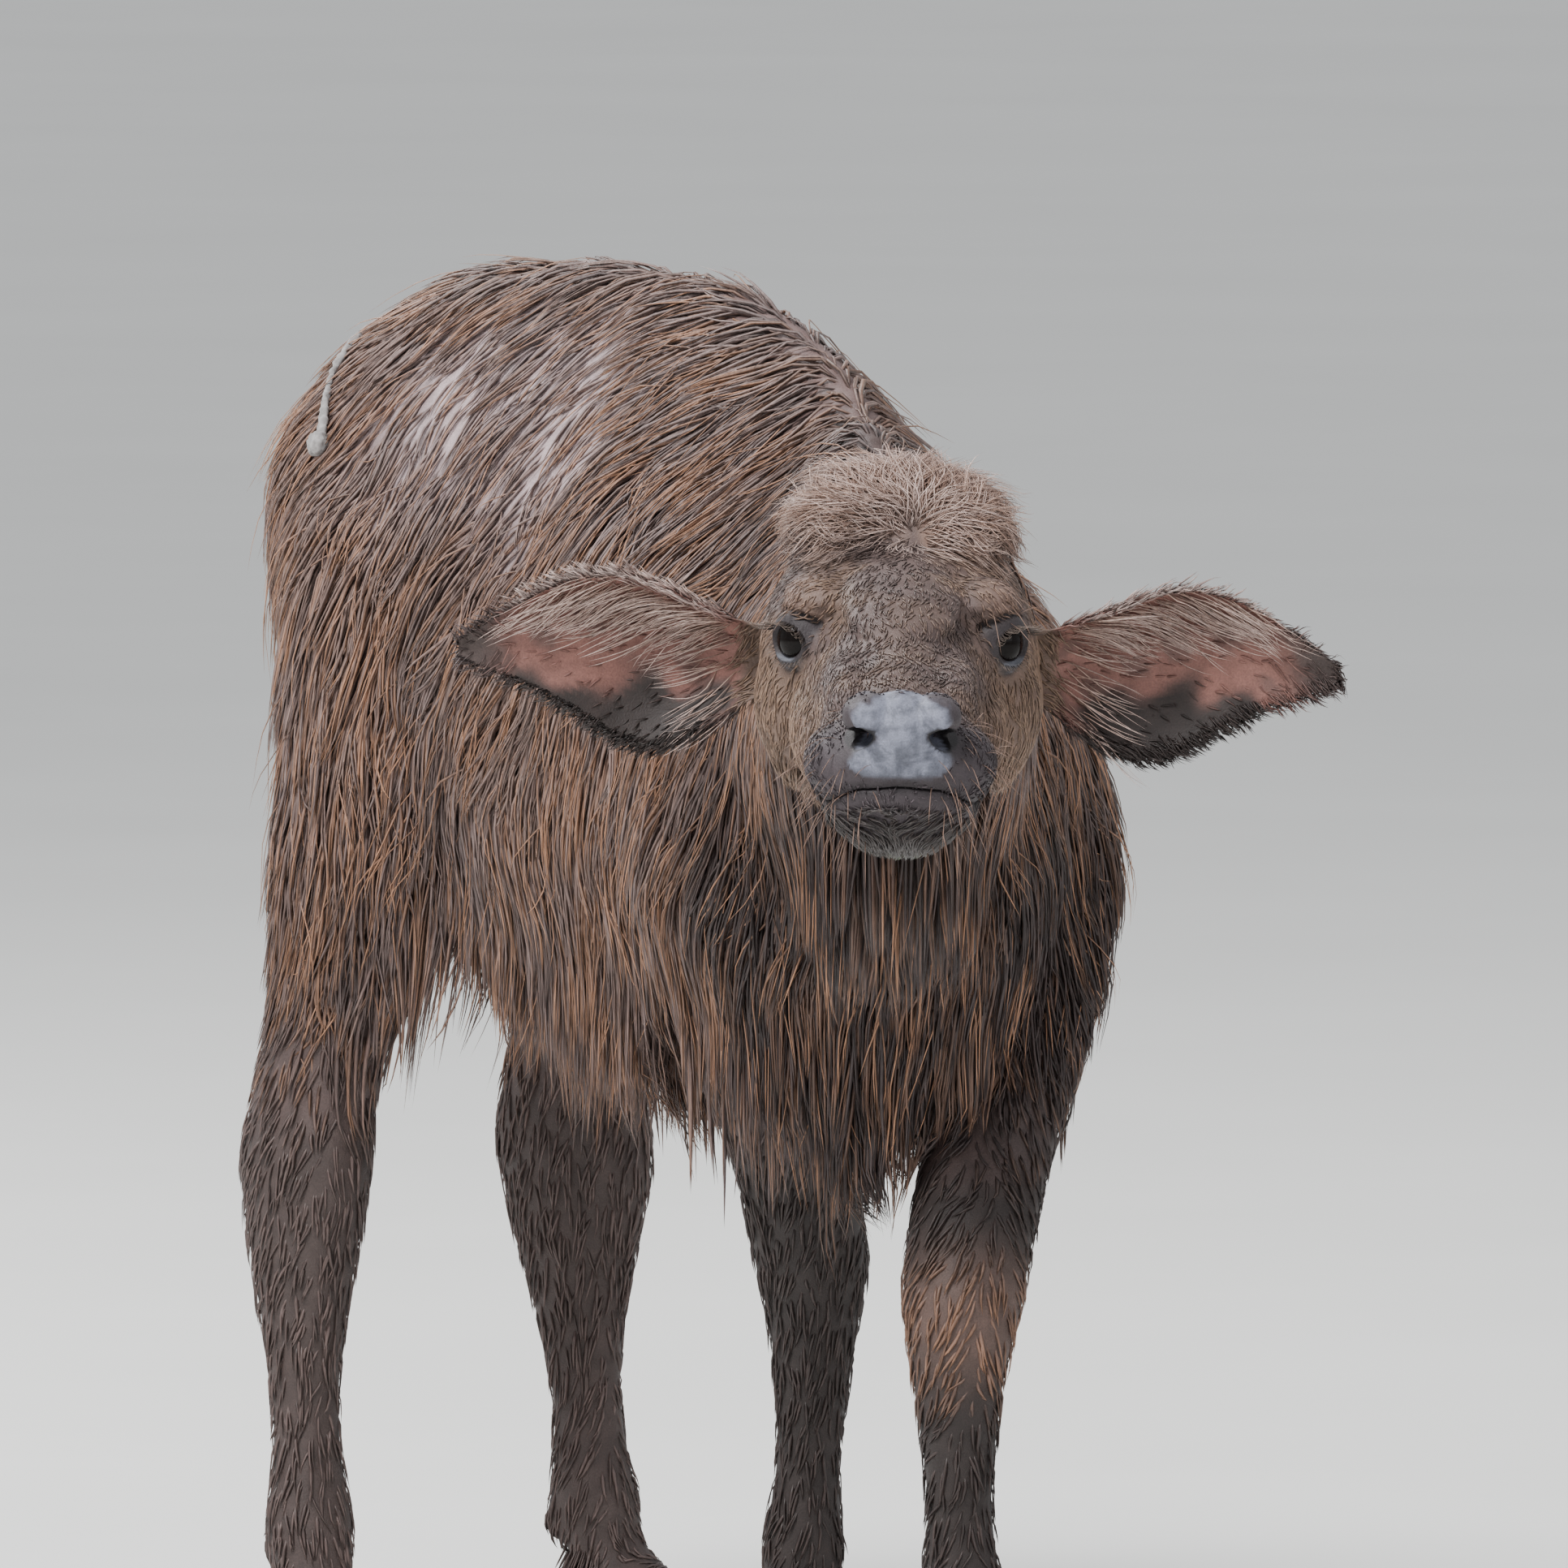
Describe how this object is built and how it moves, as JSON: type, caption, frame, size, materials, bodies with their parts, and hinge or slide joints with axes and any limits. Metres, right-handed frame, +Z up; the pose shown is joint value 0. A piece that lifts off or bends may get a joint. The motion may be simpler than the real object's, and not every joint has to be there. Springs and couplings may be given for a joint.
{
  "type": "water buffalo calf",
  "caption": "Life-size still model of a young water buffalo calf walking with its head lowered and turned, ears spread, coat long and wet.",
  "frame": {"origin": "on the floor, under the middle of the calf's bounding box", "axes": "+Z up, +Y towards the rump, -Y the way the hindquarters walk, +X the calf's left"},
  "size_m": [0.5862, 1.1578, 0.8842],
  "materials": {
    "coat": "long wet reddish-brown hair over grey-brown hide",
    "ear": "thin haired skin, pink-brown inside",
    "eye": "wet, near black",
    "horn": "dark claw horn"
  },
  "bodies": {
    "root": {"claw_fore_left_inner": "horn", "claw_fore_left_outer": "horn", "claw_fore_right_inner": "horn", "claw_fore_right_outer": "horn", "claw_hind_left_inner": "horn", "claw_hind_left_outer": "horn", "claw_hind_right_inner": "horn", "claw_hind_right_outer": "horn", "ear_left": "ear", "ear_right": "ear", "eye_left": "eye", "eye_right": "eye", "head": "coat", "leg_fore_left": "coat", "leg_fore_right": "coat", "leg_hind_left": "coat", "leg_hind_right": "coat", "neck": "coat", "shank_fore_left": "coat", "shank_fore_right": "coat", "shank_hind_left": "coat", "shank_hind_right": "coat", "tail_dock": "coat", "tail_switch": "coat", "torso": "coat"}
  },
  "joints": []
}
